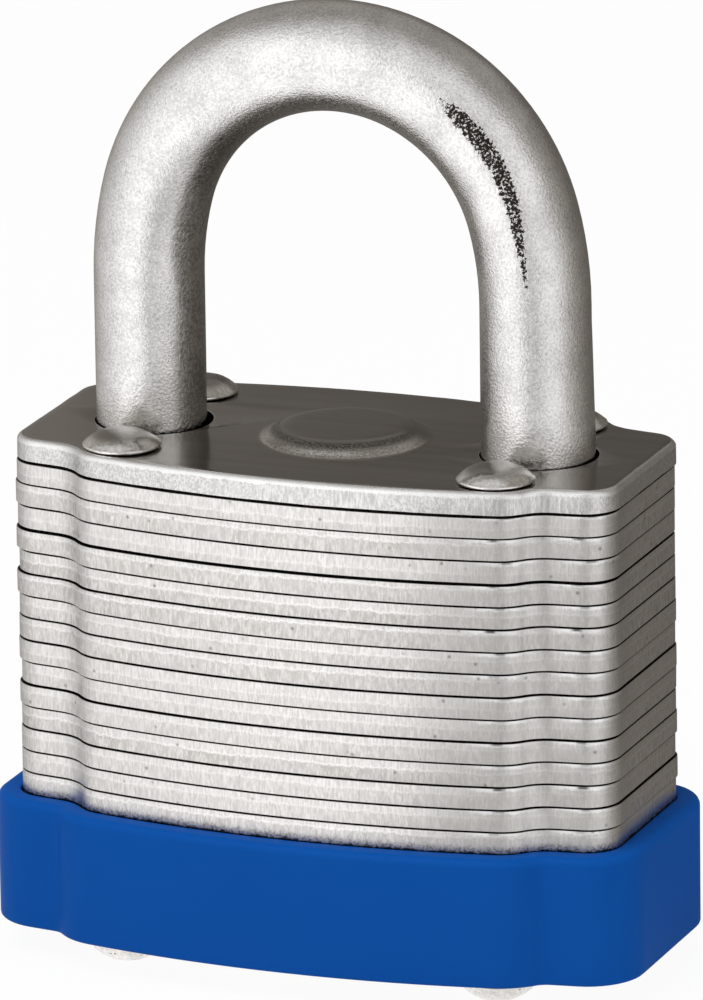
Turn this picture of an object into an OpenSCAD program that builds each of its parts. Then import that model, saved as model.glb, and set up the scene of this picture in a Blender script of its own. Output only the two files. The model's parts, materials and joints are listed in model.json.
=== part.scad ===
// Laminated padlock. Stamped steel plates are riveted into one block around a pin
// tumbler cylinder. A cam on the plug draws two bolts out of notches in the legs of
// the shackle, and a spring under the heel leg lifts it. A soft bumper wraps the foot.
// Millimetres. Z is up, the front is -Y, and the origin is on the ground, under the
// middle of the body. The model stands closed with the plug in its open position.

/* [Plates] */
// Width of the body, end to end
body_w = 50; // [49:0.5:56]
// Depth of the body at its middle
body_d = 26.2; // [25.6:0.2:30]
// Thickness of one plate
plate_t = 1.82; // [1.74:0.02:2]
// Radius of the bulge of the front and back faces
bulge_r = 82.9; // [75:1:110]
// Distance from the middle to where the bulge ends
shoulder_x = 16.6; // [16:0.1:17]
// Radius of the shoulder and of the hollow beside it
shoulder_r = 3.4; // [2.8:0.1:3.6]
// Depth of the body at its two ends
end_d = 17; // [16.4:0.2:18]
// Slant of the faces beside the shoulders, in degrees
end_taper = 8.5; // [4:0.5:11]
// Corner radius of the two ends
end_r = 2.7; // [1.5:0.1:4]

/* [Top boss] */
// Diameter of the round boss pressed in the top plate
boss_d = 13.2; // [10:0.2:16]
// Height of the boss
boss_h = 1; // [0.6:0.1:1.4]
// Width of the slope round the boss
boss_slope = 1.1; // [0.4:0.1:1.8]

/* [Rivets] */
// Diameter of a rivet's shank
rivet_d = 4; // [3.2:0.1:4.4]
// Diameter of a rivet's heads
rivet_head_d = 6.2; // [5.6:0.1:6.6]
// Height of the top heads
rivet_top_h = 1.3; // [0.8:0.1:1.8]
// Height of the bottom heads, on which the lock stands
rivet_foot_h = 1.8; // [1.2:0.1:2.4]
// Height of the straight rim of a head
rivet_rim_h = 0.35; // [0.2:0.05:0.5]
// Distance from the body's front or back to the rivets
rivet_edge = 4.9; // [4.7:0.1:5.1]
// Plate left between a rivet's head and the leg hole beside it
rivet_land = 0.47; // [0.2:0.01:0.8]
// Diameter of the flat at the bottom of a foot
rivet_flat_d = 2.6; // [2:0.1:3.4]

/* [Shackle] */
// Diameter of the shackle's bar
bar_d = 8.7; // [8:0.1:9]
// Distance between the two legs, middle to middle
leg_gap = 32.2; // [31.6:0.2:33]
// Straight part of a leg above the top plate
leg_straight = 14.5; // [8:0.25:40]
// How far the shackle lifts to open
lift = 14; // [13.6:0.1:15]
// Diameter of the heel leg's neck
neck_d = 4.8; // [4:0.1:4.9]
// Height of the collar under the neck
collar_h = 2.2; // [1.6:0.1:3]
// Room between a notch and the bolt plates, above and below
notch_room = 0.15; // [0.05:0.05:0.25]
// Bevel at the end of the toe leg
toe_bevel = 1.2; // [0.4:0.1:1.3]
// Wire of the shackle's spring
shackle_wire_d = 0.9; // [0.6:0.1:1]

/* [Bolts and cam] */
// Travel of each bolt in a quarter turn of the plug
bolt_travel = 2.1; // [1.9:0.05:2.2]
// Depth of the notches in the legs
notch_depth = 2; // [1.9:0.05:2.1]
// Width of a bolt
bolt_w = 8.8; // [8:0.1:10]
// Width of a bolt's nose
bolt_nose_w = 5.8; // [4.8:0.1:6.2]
// Length of a bolt's nose
bolt_nose_l = 2.85; // [2.6:0.05:3]
// Reach of a bolt's tail past the middle
bolt_tail_l = 3.6; // [3.4:0.05:3.8]
// Gap between a bolt's tail and the other bolt
bolt_gap = 0.9; // [0.6:0.1:1.2]
// Wall between a bolt's spring pocket and its shoulder
pocket_wall = 0.55; // [0.4:0.05:0.8]
// Diameter of the cam
cam_d = 7.2; // [6.6:0.1:8]
// Diameter of the cam's two pins
cam_pin_d = 1.8; // [1.5:0.05:1.9]
// Diameter of the two bolt springs
bolt_spring_d = 2.4; // [2:0.1:2.5]
// Wire of the bolt springs
bolt_wire_d = 0.4; // [0.3:0.05:0.5]

/* [Cylinder] */
// Diameter of the plug
plug_d = 9; // [8.6:0.1:9.4]
// Diameter of the plug's face in the bottom plate
plug_face_d = 7.8; // [7.2:0.1:8.2]
// Diameter of the plug's tail
plug_tail_d = 4.8; // [4.4:0.1:5.2]
// Wall of the housing round the plug
housing_wall = 2; // [1.6:0.1:2.4]
// Width of the housing's pin tower
tower_w = 6.4; // [5.6:0.2:7]
// Distance from the plug's axis to the back of the pin tower
tower_reach = 10.5; // [10.4:0.1:10.8]
// Width of the strip that closes the pin chambers
cap_w = 4; // [3.4:0.1:4.6]
// Thickness of that strip
cap_t = 0.7; // [0.5:0.1:0.8]
// Diameter of the pins
pin_d = 2.4; // [2:0.1:2.6]
// Height of the lowest pin above the foot of the housing
first_pin_h = 5; // [4:0.2:6]
// Distance between two pins
pin_pitch = 3.4; // [3.1:0.1:3.8]
// Length of a driver pin
driver_l = 2.7; // [2.4:0.1:2.9]
// Width of the keyway
keyway_w = 1.8; // [1.4:0.1:2]
// Height of the keyway
keyway_h = 6.4; // [5.8:0.1:6.8]
// Width of the grooves at the sides of the keyway
keyway_groove_w = 0.6; // [0.3:0.1:0.9]
// Height of those grooves
keyway_groove_h = 1.1; // [0.8:0.1:1.4]
// Solid part of the plug between the keyway and the clip
keyway_land = 0.6; // [0.4:0.1:1]
// How far the plug's face stands inside the face of the bottom plate
plug_face_recess = 0.15; // [0:0.05:0.3]
// Thickness of the clip that holds the plug
clip_t = 0.5; // [0.4:0.05:0.6]
// How deep the clip sits in the plug
clip_bite = 0.6; // [0.4:0.1:0.8]
// How far the clip stands out of the plug
clip_reach = 0.9; // [0.6:0.1:1.1]
// Part of the plug above the clip
clip_land = 0.6; // [0.4:0.1:0.8]
// Width of the tang that turns the cam
tang_w = 1.6; // [1.2:0.1:1.8]
// Length of the tang
tang_l = 4; // [3.2:0.1:4.4]
// Height of the tang
tang_h = 1.2; // [0.8:0.1:1.3]
// Wire of the pin springs
pin_wire_d = 0.35; // [0.25:0.05:0.4]

/* [Bumper] */
// Thickness of the bumper's wall
bumper_wall = 1.9; // [1.4:0.1:2.4]
// Part of the bottom plate that stays bare below the bumper
bumper_rise = 0.5; // [0.2:0.1:1]
// Radius of the bumper's rims
bumper_rim_r = 0.8; // [0.4:0.1:1]
// Depth of the groove that holds the bumper's rib
rib_depth = 0.8; // [0.4:0.1:1.2]

/* [Clearances] */
// Radial room round the legs in the plates
leg_clear = 0.3; // [0.2:0.05:0.35]
// Room between sliding flat faces
slide_clear = 0.1; // [0.06:0.02:0.14]
// Radial room of turning fits
run_clear = 0.05; // [0.03:0.01:0.07]

/* [Hidden] */
$fn = 48;
overcut = 1;
guide_n = 2;
bolt_n = 2;
cylinder_n = 14;
bumper_plates = 6;
groove_plate = 13;
pin_n = 5;

// Plates are counted from the top, and each kind starts after the one above it.
first_guide = 2;
first_bolt = first_guide + guide_n;
cam_level = first_bolt + bolt_n;
retaining_level = cam_level + 1;
first_cylinder = retaining_level + 1;
bottom_level = first_cylinder + cylinder_n;
stack_h = bottom_level * plate_t;
stack_z = rivet_foot_h;
top_z = stack_z + stack_h;
function plate_z(level) = top_z - level * plate_t;

leg_x = leg_gap / 2;
bar_r = bar_d / 2;
leg_hole_r = bar_r + leg_clear;

// The rivets keep one distance from the faces and one from the leg holes.
rivet_reach = leg_hole_r + rivet_head_d / 2 + rivet_land;
rivet_y = body_d / 2 - rivet_edge;
rivet_x = leg_x - sqrt(max(0, rivet_reach * rivet_reach - rivet_y * rivet_y));

// Bolt levels
bolt_z = plate_z(cam_level - 1) + slide_clear / 2;
bolt_h = bolt_n * plate_t - 2 * slide_clear;
bolt_tip_x = leg_x - leg_hole_r;
bolt_shoulder_x = bolt_tip_x - bolt_nose_l;
bolt_inner_x = bolt_tail_l + bolt_gap;
pocket_x = bolt_shoulder_x - pocket_wall;
pocket_y = bolt_w / 4 + slide_clear;
cam_pin_reach = bolt_travel / sqrt(2);
cam_slot_x = bolt_travel / 2 + cam_pin_d / 2 + slide_clear;
cam_slot_y = cam_pin_reach + cam_pin_d / 2 + 1.5 * slide_clear;
tail_split = 1.5 * slide_clear;

// Shackle levels
notch_z = plate_z(cam_level - 1) - notch_room;
notch_h = bolt_n * plate_t + 2 * notch_room;
toe_end_z = plate_z(retaining_level) + 2 * slide_clear;
neck_top_z = plate_z(cam_level) + slide_clear;
neck_bottom_z = plate_z(retaining_level) - slide_clear - lift;
collar_z = neck_bottom_z - collar_h;
spring_floor_z = plate_z(bottom_level - 1);
straight_top_z = top_z + leg_straight;

// Cylinder levels
housing_top_z = plate_z(retaining_level) - slide_clear;
housing_z = plate_z(bottom_level - 1) + slide_clear / 2;
housing_r = plug_d / 2 + housing_wall;
plug_r = plug_d / 2;
clip_room = slide_clear / 2;
plug_top_z = housing_top_z - 1.5 * slide_clear;
clip_z = plug_top_z - clip_land - clip_t - clip_room;
clip_seat_z = clip_z - clip_room;
clip_inner_r = plug_r - clip_bite;
clip_outer_r = plug_r + clip_reach;
plug_face_z = stack_z + plug_face_recess;
tail_top_z = plate_z(cam_level) + slide_clear / 2;
pin_r = pin_d / 2;
chamber_r = pin_r + run_clear;
first_pin_z = housing_z + first_pin_h;
driver_y = plug_r + slide_clear;
pin_spring_y = driver_y + driver_l;
pin_spring_l = tower_reach - cap_t - pin_spring_y;
pin_spring_d = pin_d - 2 * slide_clear;
unlock_turn = 90;
function pin_z(i) = first_pin_z + (i - 1) * pin_pitch;
function key_pin_l(i) = 2.1 + 0.3 * ((i * 2) % 5);
key_pin_end = sqrt(plug_r * plug_r - pin_r * pin_r) - run_clear;

// Outline of the body, offset outwards by d. The first quarter runs from the right
// end round its corner, up the shoulder and along the bulge; the rest is mirrored.
function arc(c, r, from, to, n) =
    [for (i = [0:n]) c + r * [cos(from + (to - from) * i / n), sin(from + (to - from) * i / n)]];
bulge_c = [0, body_d / 2 - bulge_r];
bulge_deg = asin(shoulder_x / bulge_r);
shoulder_c = bulge_c + (bulge_r - shoulder_r) * [sin(bulge_deg), cos(bulge_deg)];
end_corner = [body_w / 2, end_d / 2];
face_dir = [-cos(end_taper), sin(end_taper)];
face_normal = [sin(end_taper), cos(end_taper)];
hollow_from = end_corner + shoulder_r * face_normal - shoulder_c;
hollow_b = hollow_from * face_dir;
hollow_reach = hollow_from * hollow_from - 4 * shoulder_r * shoulder_r;
hollow_t = -hollow_b - sqrt(hollow_b * hollow_b - hollow_reach);
hollow_c = shoulder_c + hollow_from + hollow_t * face_dir;
hollow_deg = atan2(shoulder_c.y - hollow_c.y, shoulder_c.x - hollow_c.x) + 360;
corner_c = end_corner - end_r * face_normal
    + end_r * (1 - sin(end_taper)) / cos(end_taper) * face_dir;
function quarter(d) = concat(
    arc(corner_c, end_r + d, 0, 90 - end_taper, 4),
    arc(hollow_c, shoulder_r - d, 270 - end_taper, hollow_deg, 4),
    [for (i = [1:4]) arc(shoulder_c, shoulder_r + d, hollow_deg - 180, 90 - bulge_deg, 4)[i]],
    [for (i = [1:5]) arc(bulge_c, bulge_r + d, 90 - bulge_deg, 90, 5)[i]]
);
function outline(d) = let (q = quarter(d), last = len(q) - 1) concat(
    q,
    [for (i = [1:last]) [-q[last - i].x, q[last - i].y]],
    [for (p = q) -p],
    [for (i = [1:last]) [q[last - i].x, -q[last - i].y]]
);

// One closed skin round the outline: profile is a ring of [offset, height] pairs.
module wrap(profile) {
    n = len(outline(0));
    m = len(profile);
    points = [for (p = profile) for (q = outline(p[0])) [q.x, q.y, p[1]]];
    faces = [for (j = [0:m - 1]) for (i = [0:n - 1])
        for (f = [[0, 1, 2], [0, 2, 3]])
            let (quad = [j * n + i, j * n + (i + 1) % n,
                ((j + 1) % m) * n + (i + 1) % n, ((j + 1) % m) * n + i])
            [quad[f[2]], quad[f[1]], quad[f[0]]]];
    polyhedron(points, faces, convexity = 6);
}

// A coil of round wire that stands on z = 0 and is l high
module coil(d, wire, turns, l, steps = 12, sides = 6) {
    r = (d - wire) / 2;
    n = turns * steps;
    points = [for (i = [0:n]) for (s = [0:sides - 1])
        let (a = 360 * i / steps, b = 360 * s / sides, q = r + wire / 2 * cos(b))
        [q * cos(a), q * sin(a), wire / 2 + (l - wire) * i / n + wire / 2 * sin(b)]];
    side_faces = [for (i = [0:n - 1]) for (s = [0:sides - 1]) for (f = [0, 1])
        let (t = (s + 1) % sides, p = i * sides, q = (i + 1) * sides)
        f == 0 ? [p + s, q + s, q + t] : [p + s, q + t, p + t]];
    start_face = [for (s = [0:sides - 1]) s];
    end_face = [for (s = [0:sides - 1]) n * sides + sides - 1 - s];
    polyhedron(points, concat(side_faces, [start_face, end_face]), convexity = 8);
}

module at_rivets()
    for (x = [-rivet_x, rivet_x], y = [-rivet_y, rivet_y]) translate([x, y]) children();

module leg_holes(sides = [-1, 1])
    for (s = sides) translate([s * leg_x, 0]) circle(leg_hole_r);

// One plate of the stack, with its rivet holes and whatever children cut from it
module plate(level, inset = 0)
    color([0.55, 0.54, 0.53]) translate([0, 0, plate_z(level)]) linear_extrude(plate_t)
        difference() {
            polygon(outline(-inset));
            at_rivets() circle(rivet_d / 2 + run_clear);
            children();
        }

module top_plate() {
    difference() {
        union() {
            plate(1) leg_holes();
            color([0.4, 0.38, 0.37]) translate([0, 0, top_z])
                cylinder(h = boss_h, r1 = boss_d / 2, r2 = boss_d / 2 - boss_slope);
        }
        translate([0, 0, plate_z(1) - overcut])
            cylinder(h = boss_h + overcut, r = boss_d / 2 - boss_slope - plate_t / 2);
    }
}

module guide_plate(i) plate(first_guide + i - 1) leg_holes();

module bolt_plate(i)
    plate(first_bolt + i - 1) {
        leg_holes();
        square([2 * (bolt_shoulder_x + bolt_travel + 2 * slide_clear), bolt_w + 2 * slide_clear],
            center = true);
        square([2 * leg_x, bolt_nose_w + 2 * slide_clear], center = true);
    }

module cam_plate()
    plate(cam_level) {
        leg_holes();
        circle(cam_d / 2 + run_clear);
    }

// The collar can't pass the narrow slot that holds the neck. The wide end of the slot
// lets the plate be threaded on before the stack is riveted.
module retaining_plate()
    plate(retaining_level) {
        leg_holes([1]);
        slot_end = leg_x - leg_hole_r - neck_d / 2;
        translate([-leg_x, 0]) circle(neck_d / 2 + 2 * slide_clear);
        translate([-leg_x, -neck_d / 2 - 2 * slide_clear])
            square([leg_x - slot_end, neck_d + 4 * slide_clear]);
        translate([-slot_end, 0]) circle(leg_hole_r);
        circle(plug_tail_d / 2 + run_clear);
    }

module housing_outline(room) {
    circle(housing_r + room);
    translate([-tower_w / 2 - room, 0]) square([tower_w + 2 * room, tower_reach + room]);
}

module cylinder_plate(i)
    plate(first_cylinder + i - 1, i == groove_plate ? rib_depth : 0) {
        leg_holes([-1]);
        housing_outline(slide_clear);
    }

module bottom_plate()
    plate(bottom_level) circle(plug_face_d / 2 + run_clear);

// Half of a head's profile, from its rim towards its flat, rising by rise
function dome(rise, flat_r, z, up) =
    [for (i = [0:4]) let (a = 18 * i, r = rivet_head_d / 2)
        [flat_r + (r - flat_r) * cos(a), z + up * (rivet_rim_h + (rise - rivet_rim_h) * sin(a))]];

module rivets() {
    end_z = top_z + rivet_top_h;
    head_flat_r = rivet_flat_d / 6;
    foot = dome(rivet_foot_h, rivet_flat_d / 2, stack_z, -1);
    head = dome(rivet_top_h, head_flat_r, top_z, 1);
    shank = rivet_d / 2;
    color([0.62, 0.62, 0.62]) at_rivets() rotate_extrude() polygon(concat(
        [[0, 0], [rivet_flat_d / 2, 0]],
        [for (i = [3:-1:0]) foot[i]],
        [[rivet_head_d / 2, stack_z], [shank, stack_z], [shank, top_z], [rivet_head_d / 2, top_z]],
        [for (i = [0:3]) head[i]],
        [[head_flat_r, end_z], [0, end_z]]
    ));
}

module bumper() {
    low = stack_z + bumper_rise;
    high = stack_z + bumper_plates * plate_t;
    groove_z = plate_z(first_cylinder + groove_plate - 1);
    rib_low = groove_z + slide_clear;
    rib_high = groove_z + plate_t - slide_clear;
    inner = run_clear;
    rib = slide_clear - rib_depth;
    rim = bumper_rim_r;
    rims = [for (a = [0:30:90]) [cos(a), sin(a)]];
    color([0.1, 0.35, 0.63]) wrap(concat(
        [for (p = rims) [bumper_wall - rim + rim * p.x, high - rim + rim * p.y]],
        [[inner, high], [inner, rib_high], [rib, rib_high], [rib, rib_low], [inner, rib_low],
         [inner, low]],
        [for (i = [3:-1:0]) [bumper_wall - rim + rim * rims[i].x, low + rim - rim * rims[i].y]]
    ));
}

module notch()
    translate([leg_x - bar_r - overcut, -bar_r - overcut, notch_z])
        cube([notch_depth + overcut, bar_d + 2 * overcut, notch_h]);

module shackle()
    color([0.6, 0.6, 0.58]) difference() {
        union() {
            translate([0, 0, straight_top_z]) rotate([90, 0, 0]) rotate_extrude(angle = 180)
                translate([leg_x, 0]) circle(bar_r);
            translate([leg_x, 0, toe_end_z + toe_bevel])
                cylinder(h = straight_top_z - toe_end_z - toe_bevel, r = bar_r);
            translate([leg_x, 0, toe_end_z])
                cylinder(h = toe_bevel, r1 = bar_r - toe_bevel, r2 = bar_r);
            translate([-leg_x, 0, neck_top_z])
                cylinder(h = straight_top_z - neck_top_z, r = bar_r);
            translate([-leg_x, 0, neck_bottom_z])
                cylinder(h = neck_top_z - neck_bottom_z, r = neck_d / 2);
            translate([-leg_x, 0, collar_z]) cylinder(h = collar_h, r = bar_r);
        }
        notch();
        mirror([1, 0, 0]) notch();
    }

module shackle_spring()
    color([0.5, 0.5, 0.52]) translate([-leg_x, 0, spring_floor_z])
        coil(bar_d - 2 * leg_clear, shackle_wire_d, 6, collar_z - spring_floor_z);

// The bolt for the leg at +X. Its tail passes the cam on the +Y side, and its pocket
// on the other side takes the spring that the other bolt's tail pushes on.
module bolt()
    color([0.68, 0.66, 0.6]) difference() {
        translate([0, 0, bolt_z]) union() {
            translate([bolt_inner_x, -bolt_w / 2, 0])
                cube([bolt_shoulder_x - bolt_inner_x, bolt_w, bolt_h]);
            translate([bolt_inner_x, -bolt_nose_w / 2, 0])
                cube([bolt_tip_x - bolt_inner_x, bolt_nose_w, bolt_h]);
            translate([-bolt_tail_l, tail_split, 0])
                cube([bolt_inner_x + bolt_tail_l + overcut, bolt_w / 2 - tail_split, bolt_h]);
        }
        translate([-cam_slot_x, -overcut, bolt_z - overcut])
            cube([2 * cam_slot_x, cam_slot_y + overcut, bolt_h + 2 * overcut]);
        translate([bolt_inner_x - overcut, -pocket_y, bolt_z + bolt_h / 2]) rotate([0, 90, 0])
            cylinder(h = pocket_x - bolt_inner_x + overcut, r = bolt_spring_d / 2 + 1.5 * slide_clear);
    }

module toe_bolt() bolt();

module heel_bolt() rotate([0, 0, 180]) bolt();

module bolt_springs()
    color([0.5, 0.5, 0.52]) for (a = [0, 180]) rotate([0, 0, a])
        translate([bolt_tail_l + clip_room, -pocket_y, bolt_z + bolt_h / 2]) rotate([0, 90, 0])
            coil(bolt_spring_d, bolt_wire_d, 5, pocket_x - bolt_tail_l - 2 * clip_room);

module cam() {
    cam_z = plate_z(cam_level) + slide_clear;
    cam_top_z = plate_z(cam_level - 1) - slide_clear / 2;
    pin_top_z = bolt_z + bolt_h - 4 * slide_clear;
    color([0.75, 0.68, 0.42]) difference() {
        union() {
            translate([0, 0, cam_z]) cylinder(h = cam_top_z - cam_z, r = cam_d / 2);
            for (a = [135, 315]) rotate([0, 0, a])
                translate([cam_pin_reach, 0, cam_z]) cylinder(h = pin_top_z - cam_z, r = cam_pin_d / 2);
        }
        translate([-(tang_l + slide_clear) / 2, -(tang_w + slide_clear) / 2, cam_z - overcut])
            cube([tang_l + slide_clear, tang_w + slide_clear, tang_h + overcut]);
    }
}

// The plug is built with its keyway towards the pin tower, as it stands when locked,
// and turned to its open position.
module plug()
    color([0.8, 0.66, 0.36]) rotate([0, 0, unlock_turn]) difference() {
        union() {
            translate([0, 0, housing_z]) cylinder(h = plug_top_z - housing_z, r = plug_r);
            translate([0, 0, plug_face_z]) cylinder(h = housing_z - plug_face_z, r = plug_face_d / 2);
            translate([0, 0, plug_top_z]) cylinder(h = tail_top_z - plug_top_z, r = plug_tail_d / 2);
            translate([-tang_w / 2, -tang_l / 2, tail_top_z]) cube([tang_w, tang_l, tang_h]);
        }
        translate([0, 0, clip_seat_z]) difference() {
            cylinder(h = clip_t + 2 * clip_room, r = plug_r + overcut);
            translate([0, 0, -overcut]) cylinder(h = clip_t + 3 * overcut, r = clip_inner_r - run_clear);
        }
        keyway();
        for (i = [1:pin_n]) chamber(i, key_pin_end - key_pin_l(i) - slide_clear, plug_r + overcut);
    }

// The slot for the key, with a groove on each side that its blade runs in
module keyway() {
    keyway_l = clip_seat_z - keyway_land - plug_face_z;
    translate([-keyway_w / 2, -keyway_h / 2, plug_face_z - overcut])
        cube([keyway_w, keyway_h, keyway_l + overcut]);
    translate([-keyway_w / 2 - keyway_groove_w, -keyway_h / 4, plug_face_z - overcut])
        cube([keyway_w, keyway_groove_h, keyway_l + overcut]);
    translate([-keyway_w / 2 + keyway_groove_w, keyway_h / 8, plug_face_z - overcut])
        cube([keyway_w, keyway_groove_h, keyway_l + overcut]);
}

// The bore of pin i, along +Y from one distance from the plug's axis to another
module chamber(i, from, to, r = chamber_r)
    translate([0, from, pin_z(i)]) rotate([-90, 0, 0]) cylinder(h = to - from, r = r);

module plug_clip()
    color([0.5, 0.5, 0.52]) translate([0, 0, clip_z]) linear_extrude(clip_t) difference() {
        circle(clip_outer_r);
        circle(clip_inner_r);
        translate([0, -clip_inner_r * 0.6]) square([clip_outer_r + overcut, clip_inner_r * 1.2]);
    }

module cylinder_housing()
    color([0.72, 0.7, 0.66]) difference() {
        translate([0, 0, housing_z]) linear_extrude(housing_top_z - housing_z) difference() {
            housing_outline(0);
            circle(plug_r + run_clear);
        }
        translate([0, 0, clip_seat_z])
            cylinder(h = housing_top_z - clip_seat_z + overcut, r = clip_outer_r + slide_clear);
        for (i = [1:pin_n]) chamber(i, plug_r - slide_clear, tower_reach + overcut);
        cap_groove(cap_w, 0);
    }

// The strip that closes the pin chambers, or the groove for it
module cap_groove(w, end_room) {
    low = pin_z(1) - pin_pitch / 2 - end_room;
    high = pin_z(pin_n) + pin_pitch / 2 + end_room;
    translate([-w / 2, tower_reach - cap_t, low]) cube([w, cap_t + overcut, high - low]);
}

module chamber_cap()
    color([0.8, 0.66, 0.36]) intersection() {
        cap_groove(cap_w - slide_clear, -slide_clear / 2);
        translate([-body_w / 2, 0, 0]) cube([body_w, tower_reach, top_z]);
    }

module key_pin(i) {
    tip_h = pin_r * 0.6;
    color([0.8, 0.66, 0.36]) rotate([0, 0, unlock_turn])
        translate([0, key_pin_end - key_pin_l(i), pin_z(i)])
        rotate([-90, 0, 0]) union() {
            cylinder(h = tip_h, r1 = pin_r * 0.4, r2 = pin_r);
            translate([0, 0, tip_h]) cylinder(h = key_pin_l(i) - tip_h, r = pin_r);
        }
}

module driver_pin(i)
    color([0.62, 0.62, 0.62]) chamber(i, driver_y, driver_y + driver_l, pin_r);

module pin_spring(i)
    color([0.5, 0.5, 0.52]) translate([0, pin_spring_y + run_clear, pin_z(i)]) rotate([-90, 0, 0])
        coil(pin_spring_d, pin_wire_d, 4, pin_spring_l - 2 * run_clear);

top_plate();
for (i = [1:guide_n]) guide_plate(i);
for (i = [1:bolt_n]) bolt_plate(i);
cam_plate();
retaining_plate();
for (i = [1:cylinder_n]) cylinder_plate(i);
bottom_plate();
rivets();
bumper();
shackle();
shackle_spring();
toe_bolt();
heel_bolt();
bolt_springs();
cam();
plug();
plug_clip();
cylinder_housing();
chamber_cap();
for (i = [1:pin_n]) key_pin(i);
for (i = [1:pin_n]) driver_pin(i);
for (i = [1:pin_n]) pin_spring(i);
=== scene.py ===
"""Looks of a laminated padlock: stamped plates, riveted round a pin tumbler cylinder,
a bent steel shackle and a soft bumper round the foot. Lengths are in metres."""

import json
import math

import bmesh
import bpy
from mathutils import Matrix, Vector


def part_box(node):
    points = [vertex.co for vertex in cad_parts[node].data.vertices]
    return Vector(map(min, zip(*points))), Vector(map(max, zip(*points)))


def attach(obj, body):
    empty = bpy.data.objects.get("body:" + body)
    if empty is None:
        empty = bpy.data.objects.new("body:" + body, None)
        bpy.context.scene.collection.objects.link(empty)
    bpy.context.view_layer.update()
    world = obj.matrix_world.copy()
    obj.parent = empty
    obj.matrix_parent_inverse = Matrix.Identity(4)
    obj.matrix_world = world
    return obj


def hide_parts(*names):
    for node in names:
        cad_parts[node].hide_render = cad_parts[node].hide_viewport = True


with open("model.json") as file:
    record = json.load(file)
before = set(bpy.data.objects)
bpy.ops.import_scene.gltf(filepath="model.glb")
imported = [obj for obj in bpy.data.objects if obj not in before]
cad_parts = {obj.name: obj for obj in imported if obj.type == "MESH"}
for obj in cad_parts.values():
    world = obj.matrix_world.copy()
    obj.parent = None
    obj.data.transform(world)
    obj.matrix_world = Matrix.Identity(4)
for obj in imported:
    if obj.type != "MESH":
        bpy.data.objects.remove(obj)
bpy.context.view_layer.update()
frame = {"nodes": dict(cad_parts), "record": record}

MM = 0.001

# Sizes that the plates, rivets, shackle and bumper share with the solids
BODY_W, BODY_D = 50 * MM, 26.2 * MM
PLATE_T = 1.82 * MM
BULGE_R, SHOULDER_X, SHOULDER_R = 82.9 * MM, 16.6 * MM, 3.4 * MM
END_D, END_TAPER, END_R = 17 * MM, math.radians(8.5), 2.7 * MM
BOSS_R, BOSS_H, BOSS_SLOPE = 6.6 * MM, 1.0 * MM, 1.1 * MM
RIVET_R, RIVET_HEAD_R = 2.0 * MM, 3.1 * MM
BAR_R, LEG_X, LEG_HOLE_R = 4.35 * MM, 16.1 * MM, 4.65 * MM
RUN_CLEAR = 0.05 * MM

top_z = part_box("guide_plate_1")[1].z + PLATE_T
stack_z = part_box("bottom_plate")[0].z
foot_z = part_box("rivets")[0].z
rivet_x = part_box("rivets")[1].x - RIVET_HEAD_R
rivet_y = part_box("rivets")[1].y - RIVET_HEAD_R
bumper_lo, bumper_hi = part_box("bumper")

PLATES = (
    ["top_plate", "guide_plate_1", "guide_plate_2", "bolt_plate_1", "bolt_plate_2"]
    + ["cam_plate", "retaining_plate"]
    + [f"cylinder_plate_{i}" for i in range(1, 15)]
    + ["bottom_plate"]
)

# The narrower plate that the bumper's rib holds on to. It stays as it is in the solids
RIB_PLATE = "cylinder_plate_13"

# Coordinates this close count as the same
NEAR = 0.01 * MM


# ---- modelling helpers


def only(obj):
    """Selects one object alone and makes it the active one."""
    bpy.ops.object.select_all(action="DESELECT")
    obj.select_set(True)
    bpy.context.view_layer.objects.active = obj


def edit(obj, mode="VERT"):
    only(obj)
    bpy.ops.object.mode_set(mode="EDIT")
    bpy.ops.mesh.select_mode(type=mode)
    bpy.ops.mesh.select_all(action="DESELECT")


def edit_all(obj, mode="VERT"):
    edit(obj, mode)
    bpy.ops.mesh.select_all(action="SELECT")


def done():
    bpy.ops.object.mode_set(mode="OBJECT")


def raised(height):
    """Extrudes the picked faces straight up."""
    bpy.ops.mesh.extrude_region_move(TRANSFORM_OT_translate={"value": (0, 0, height)})


def drawn(height):
    """Extrudes the picked edges straight up, or down where the height is negative."""
    bpy.ops.mesh.extrude_edges_move(TRANSFORM_OT_translate={"value": (0, 0, height)})


def pick(kind, test):
    """Selects the vertices, edges or faces of the mesh in edit mode that pass a test."""
    mesh = bpy.context.edit_object.data
    bm = bmesh.from_edit_mesh(mesh)
    for item in getattr(bm, kind):
        item.select_set(False)
    for item in getattr(bm, kind):
        if test(item):
            item.select_set(True)
    bm.select_flush_mode()
    bmesh.update_edit_mesh(mesh, loop_triangles=False)


def modify(obj, kind, **settings):
    """Adds a modifier, sets it and applies it."""
    only(obj)
    modifier = obj.modifiers.new(kind.title(), kind)
    for key, value in settings.items():
        setattr(modifier, key, value)
    bpy.ops.object.modifier_apply(modifier=modifier.name)


def copied(obj, name):
    new = obj.copy()
    new.data = obj.data.copy()
    new.name = new.data.name = name
    new.animation_data_clear()
    bpy.context.scene.collection.objects.link(new)
    return new


def solid_copy(node, name):
    """A free copy of a CAD node's mesh, with its loose triangles merged."""
    new = copied(frame["nodes"][node], name)
    new.parent = None
    new.matrix_world = Matrix.Identity(4)
    for key in [k for k in new.keys() if k.startswith("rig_")]:
        del new[key]
    new.hide_render = new.hide_viewport = False
    edit_all(new)
    bpy.ops.mesh.remove_doubles(threshold=0.002 * MM)
    done()
    bpy.ops.mesh.customdata_custom_splitnormals_clear()
    return new


def moved(obj, offset):
    """Moves the mesh, so that the object stays at the origin."""
    edit_all(obj)
    bpy.ops.transform.translate(value=offset)
    done()


def outward(obj):
    edit_all(obj)
    bpy.ops.mesh.remove_doubles(threshold=0.001 * MM)
    bpy.ops.mesh.normals_make_consistent(inside=False)
    done()


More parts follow.
